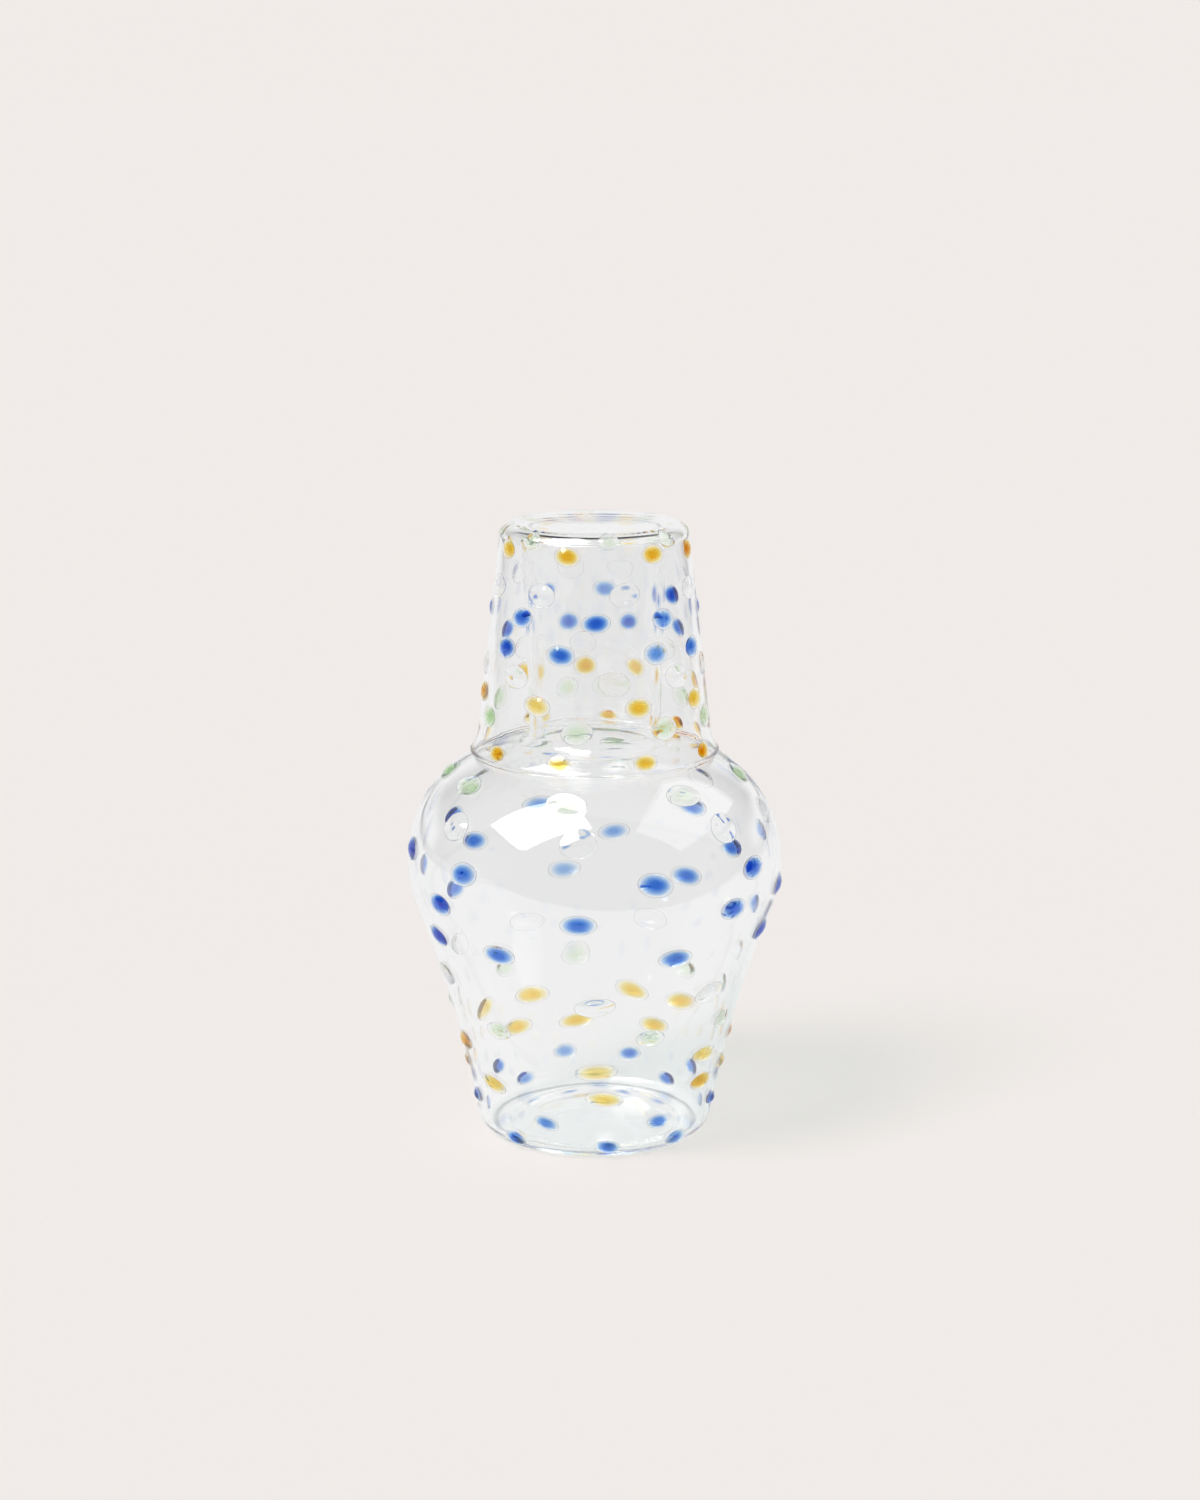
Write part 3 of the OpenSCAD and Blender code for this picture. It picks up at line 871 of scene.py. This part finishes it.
class DOTTED_CARAFE_OT_studio(bpy.types.Operator):
    """Lay the pale floor and set the camera and the soft light"""
    bl_idname = "dotted_carafe.studio"
    bl_label = "Studio"
    bl_options = {"REGISTER", "UNDO"}

    def execute(self, context):
        scene = context.scene
        looks = settings().studio
        scene.view_settings.view_transform = "Standard"
        scene.cycles.max_bounces = BOUNCES
        scene.cycles.transmission_bounces = BOUNCES
        scene.cycles.glossy_bounces = BOUNCES
        scene.cycles.use_denoising = True

        eye = bpy.data.objects.new("camera", bpy.data.cameras.new("camera"))
        scene.collection.objects.link(eye)
        eye.data.sensor_fit = "VERTICAL"
        eye.data.sensor_height = SENSOR_HEIGHT
        eye.data.lens = looks.lens
        eye.data.clip_start = NEAREST
        eye.data.clip_end = FARTHEST
        eye.location = looks.camera_at
        eye.rotation_euler = (math.pi / 2 - looks.pitch, 0, 0)
        scene.camera = eye

        self.light_world(scene, looks)
        self.lay_floor(context, looks)

        softbox("key_softbox", KEY_SOFTBOX, looks.key_power)
        softbox("fill_softbox", FILL_SOFTBOX, looks.fill_power)
        lamp = bpy.data.lights.new("window_light", "SUN")
        lamp.angle = WINDOW_SPREAD
        lamp.energy = looks.window_power
        lamp.color = looks.window_tint
        sun = bpy.data.objects.new("window_light", lamp)
        scene.collection.objects.link(sun)
        sun.rotation_euler = WINDOW_TURN
        sun.visible_glossy = False
        return {"FINISHED"}

    def light_world(self, scene, looks):
        """Even paper behind the glass, and a dark room on the near side that only reflections see."""
        world = bpy.data.worlds.new("studio")
        scene.world = world
        world.use_nodes = True
        net = Net(world.node_tree)
        coords = net.add("ShaderNodeTexCoord")
        axes = net.add("ShaderNodeSeparateXYZ", Vector=coords.outputs["Generated"])
        low = net.fade(axes.outputs["Z"], *CEILING_FADE)
        far = net.fade(axes.outputs["Y"], *FAR_FADE)
        level = net.fade(axes.outputs["Z"], *LEVEL_FADE)
        near = net.fade(axes.outputs["Y"], *NEAR_FADE)
        paper = net.blend(low, (looks.ceiling,) * 3, (looks.glow,) * 3)
        through = net.blend(near, paper, (looks.near_side,) * 3)
        behind = net.product(net.fade(axes.outputs["Y"], *BEHIND_FADE), low)
        bright = net.pair("MAXIMUM", net.product(level, far), behind)
        mirrored = net.blend(bright, (looks.room,) * 3, (looks.glow,) * 3)
        path = net.add("ShaderNodeLightPath")
        unseen = net.blend(net.near_mirror(path), through, mirrored)
        lighting = net.blend(path.outputs["Is Diffuse Ray"], unseen, (looks.ambient,) * 3)
        shown = net.blend(path.outputs["Is Camera Ray"], lighting, looks.paper)
        net.link(shown, net.nodes["Background"].inputs["Color"])

    def lay_floor(self, context, looks):
        """Wide matte floor that glows a little, so that it runs into the paper behind without a line."""
        deselect()
        bpy.ops.mesh.primitive_circle_add(vertices=FLOOR_SIDES, radius=FLOOR_RADIUS, fill_type="NGON",
                                          location=(0, 0, -FLOOR_SINK))
        floor = context.object
        floor.name = "floor"
        material = bpy.data.materials.new("pale_paper")
        material.use_nodes = True
        net = Net(material.node_tree)
        net.nodes.remove(net.nodes["Principled BSDF"])
        path = net.add("ShaderNodeLightPath")
        lit = looks.floor_light
        coords = net.add("ShaderNodeTexCoord")
        reach = net.add("ShaderNodeVectorMath", operation="LENGTH")
        net.link(coords.outputs["Object"], reach.inputs[0])
        # Painted contact shadow: a dark ring in the floor's colour under the base's edge, for rays through
        # the glass only
        inner = net.fade(reach.outputs["Value"], *PAINTED_SHADOW_INNER)
        outer = net.fade(reach.outputs["Value"], *PAINTED_SHADOW_OUTER)
        through = net.blend(net.product(inner, outer), [looks.glow - part for part in lit],
                            [looks.contact - part for part in lit])
        seen = net.blend(path.outputs["Is Camera Ray"], through,
                         [whole - part for whole, part in zip(looks.paper, lit)])
        matte = net.add("ShaderNodeBsdfDiffuse")
        matte.inputs["Color"].default_value = (looks.floor_matte,) * 3 + (1,)
        glow = net.add("ShaderNodeEmission", Color=seen)
        paper = net.add("ShaderNodeAddShader")
        net.link(matte.outputs["BSDF"], paper.inputs[0])
        net.link(glow.outputs["Emission"], paper.inputs[1])
        room = net.add("ShaderNodeEmission")
        room.inputs["Color"].default_value = (looks.room,) * 3 + (1,)
        axes = net.add("ShaderNodeSeparateXYZ", Vector=coords.outputs["Object"])
        slant = net.add("ShaderNodeMath", operation="MULTIPLY_ADD")
        net.link(axes.outputs["X"], slant.inputs[0])
        slant.inputs[1].default_value = -TABLE_SLANT
        net.link(axes.outputs["Y"], slant.inputs[2])
        aside = net.add("ShaderNodeMath", operation="ABSOLUTE")
        net.link(axes.outputs["X"], aside.inputs[0])
        edge, end = looks.table_edge, looks.table_half
        past_edge = net.fade(slant.outputs["Value"], edge + EDGE_SOFTNESS, edge - EDGE_SOFTNESS)
        past_ends = net.fade(aside.outputs["Value"], end, end + END_SOFTNESS, END_DARKNESS)
        dark = net.product(net.pair("MAXIMUM", past_edge, past_ends), net.near_mirror(path))
        both = net.add("ShaderNodeMixShader", Fac=dark)
        net.link(paper.outputs["Shader"], both.inputs[1])
        net.link(room.outputs["Emission"], both.inputs[2])
        net.link(both.outputs["Shader"], net.nodes["Material Output"].inputs["Surface"])
        floor.data.materials.append(material)


class DOTTED_CARAFE_PT_panel(bpy.types.Panel):
    """Sizes and looks of the carafe, and the steps that make it"""
    bl_idname = "DOTTED_CARAFE_PT_panel"
    bl_label = "Dotted Carafe"
    bl_space_type = "VIEW_3D"
    bl_region_type = "UI"
    bl_category = "Carafe"

    def draw(self, context):
        layout = self.layout
        props = context.scene.dotted_carafe
        for group in (props.carafe, props.tumbler, props.dots, props.glass, props.studio):
            box = layout.box()
            for name in group.__annotations__:
                box.prop(group, name)
        layout.prop(props, "turns")
        for step in STEPS:
            layout.operator(step.bl_idname)


STEPS = (
    DOTTED_CARAFE_OT_studio,
    DOTTED_CARAFE_OT_carafe_glass,
    DOTTED_CARAFE_OT_tumbler_glass,
    DOTTED_CARAFE_OT_dots,
)
GROUPS = (CarafeSizes, TumblerSizes, DotSizes, GlassLooks, StudioLooks, DottedCarafe)
CLASSES = GROUPS + STEPS + (DOTTED_CARAFE_PT_panel,)


def register():
    for cls in CLASSES:
        bpy.utils.register_class(cls)
    bpy.types.Scene.dotted_carafe = PointerProperty(type=DottedCarafe)


def unregister():
    del bpy.types.Scene.dotted_carafe
    for cls in reversed(CLASSES):
        bpy.utils.unregister_class(cls)


def main():
    register()
    bpy.ops.dotted_carafe.studio()
    bpy.ops.dotted_carafe.carafe_glass()
    bpy.ops.dotted_carafe.tumbler_glass()
    bpy.ops.dotted_carafe.dots()


if __name__ == "__main__":
    main()
